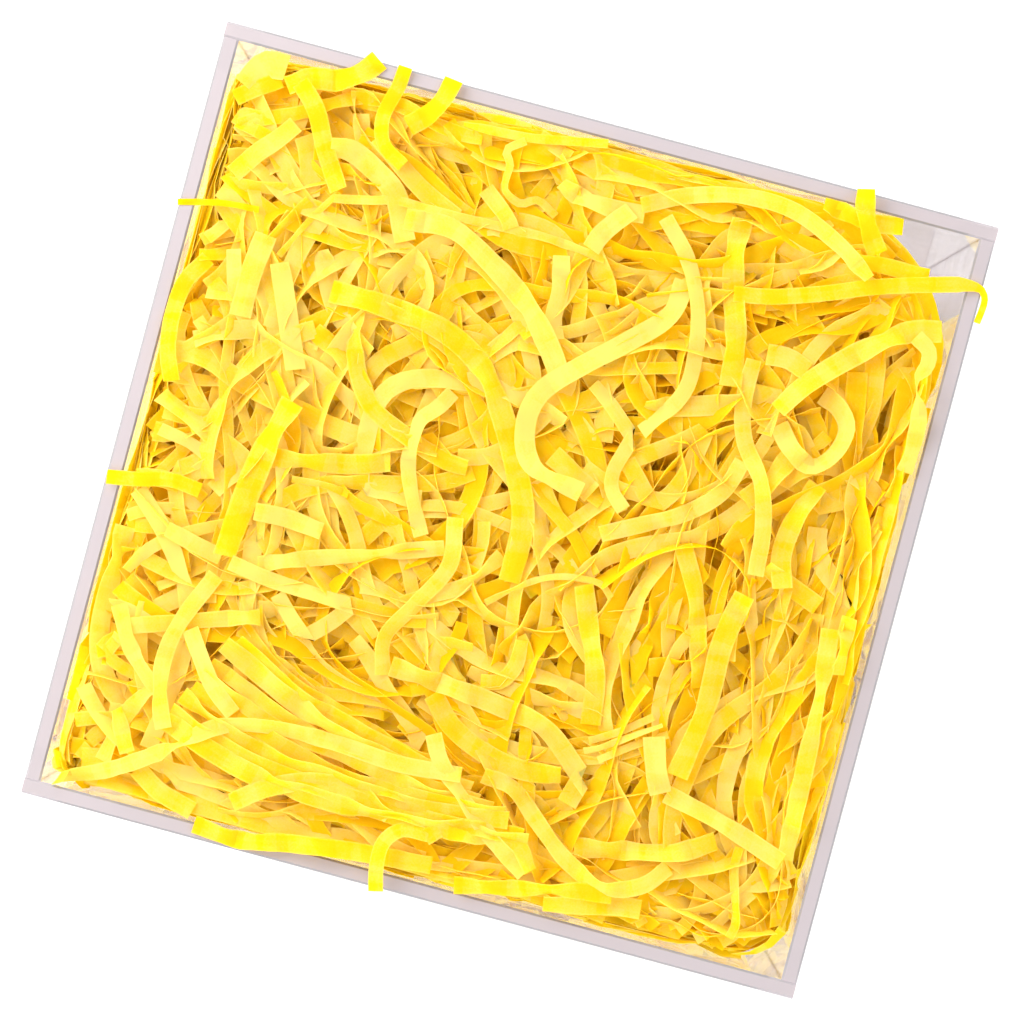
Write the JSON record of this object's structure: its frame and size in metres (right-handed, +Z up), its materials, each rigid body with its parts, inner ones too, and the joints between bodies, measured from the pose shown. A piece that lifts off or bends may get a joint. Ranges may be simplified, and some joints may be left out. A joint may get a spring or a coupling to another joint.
{
  "type": "box of shredded paper",
  "caption": "Clear square open-top box of flat plastic panels, brimful of loose yellow shredded paper, as a nest for eggs or small gifts; the paper lifts out.",
  "frame": {"origin": "centre of the underside of the base panel", "axes": "+Z up out of the open top; +X towards the right panel; +Y towards the back panel"},
  "size_m": [0.1505, 0.151, 0.1064],
  "materials": {
    "clear_plastic": "clear cast acrylic with polished edges",
    "bed_paper": "dyed shredded tissue, deep yellow in its own shade",
    "top_paper": "dyed shredded tissue, matt",
    "pale_paper": "dyed shredded tissue, matt, the paler side up"
  },
  "bodies": {
    "box": {"base_panel": "clear_plastic", "front_panel": "clear_plastic", "back_panel": "clear_plastic", "left_panel": "clear_plastic", "right_panel": "clear_plastic"},
    "paper_fill": {"paper_bed": "bed_paper", "rim_shred_right": "top_paper", "rim_shred_back_1": "top_paper", "rim_shred_back_2": "top_paper", "rim_shred_back_3": "top_paper", "rim_shred_back_4": "top_paper", "rim_shred_left_1": "top_paper", "rim_shred_left_2": "top_paper", "rim_shred_left_3": "top_paper", "rim_shred_front_1": "top_paper", "rim_shred_front_2": "top_paper", "arc_shred_front_left": "pale_paper", "arc_shred_front_right": "pale_paper", "arc_shred_front": "pale_paper", "arch_shred_front": "top_paper", "arch_shred_back": "pale_paper", "edge_shred_front": "top_paper", "edge_shred_right": "pale_paper", "level_shred_right": "pale_paper", "level_shred_front": "pale_paper", "crossing_shred_right": "pale_paper", "crossing_shred_left": "pale_paper", "sweeping_shred": "top_paper", "loop_shred_right": "pale_paper", "loop_shred_left": "pale_paper", "cup_shred": "pale_paper", "short_shred_back": "pale_paper", "long_shred_right": "top_paper", "winding_shred_right": "pale_paper", "bowed_shred_right": "pale_paper", "upright_shred_right": "top_paper", "slanting_shred_right": "pale_paper", "inner_shred_right": "top_paper", "middle_shred_right": "top_paper", "middle_shred_front": "pale_paper", "inner_shred_front": "pale_paper", "frayed_shred_front": "pale_paper", "pale_shred_left": "pale_paper", "upright_shred_left": "pale_paper", "corner_shred_left": "top_paper", "corner_shred_back": "top_paper", "broad_shred_left": "top_paper", "bent_shred_left": "pale_paper", "arrow_shred_left": "pale_paper", "bent_shred_middle": "pale_paper", "level_shred_left": "pale_paper", "short_shred_left": "pale_paper", "inner_shred_left": "pale_paper"}
  },
  "joints": [
    {"name": "fill_lift", "type": "slide", "parent": "box", "child": "paper_fill", "axis": [0, 0, 1], "range_m": [0, 0.11]}
  ]
}
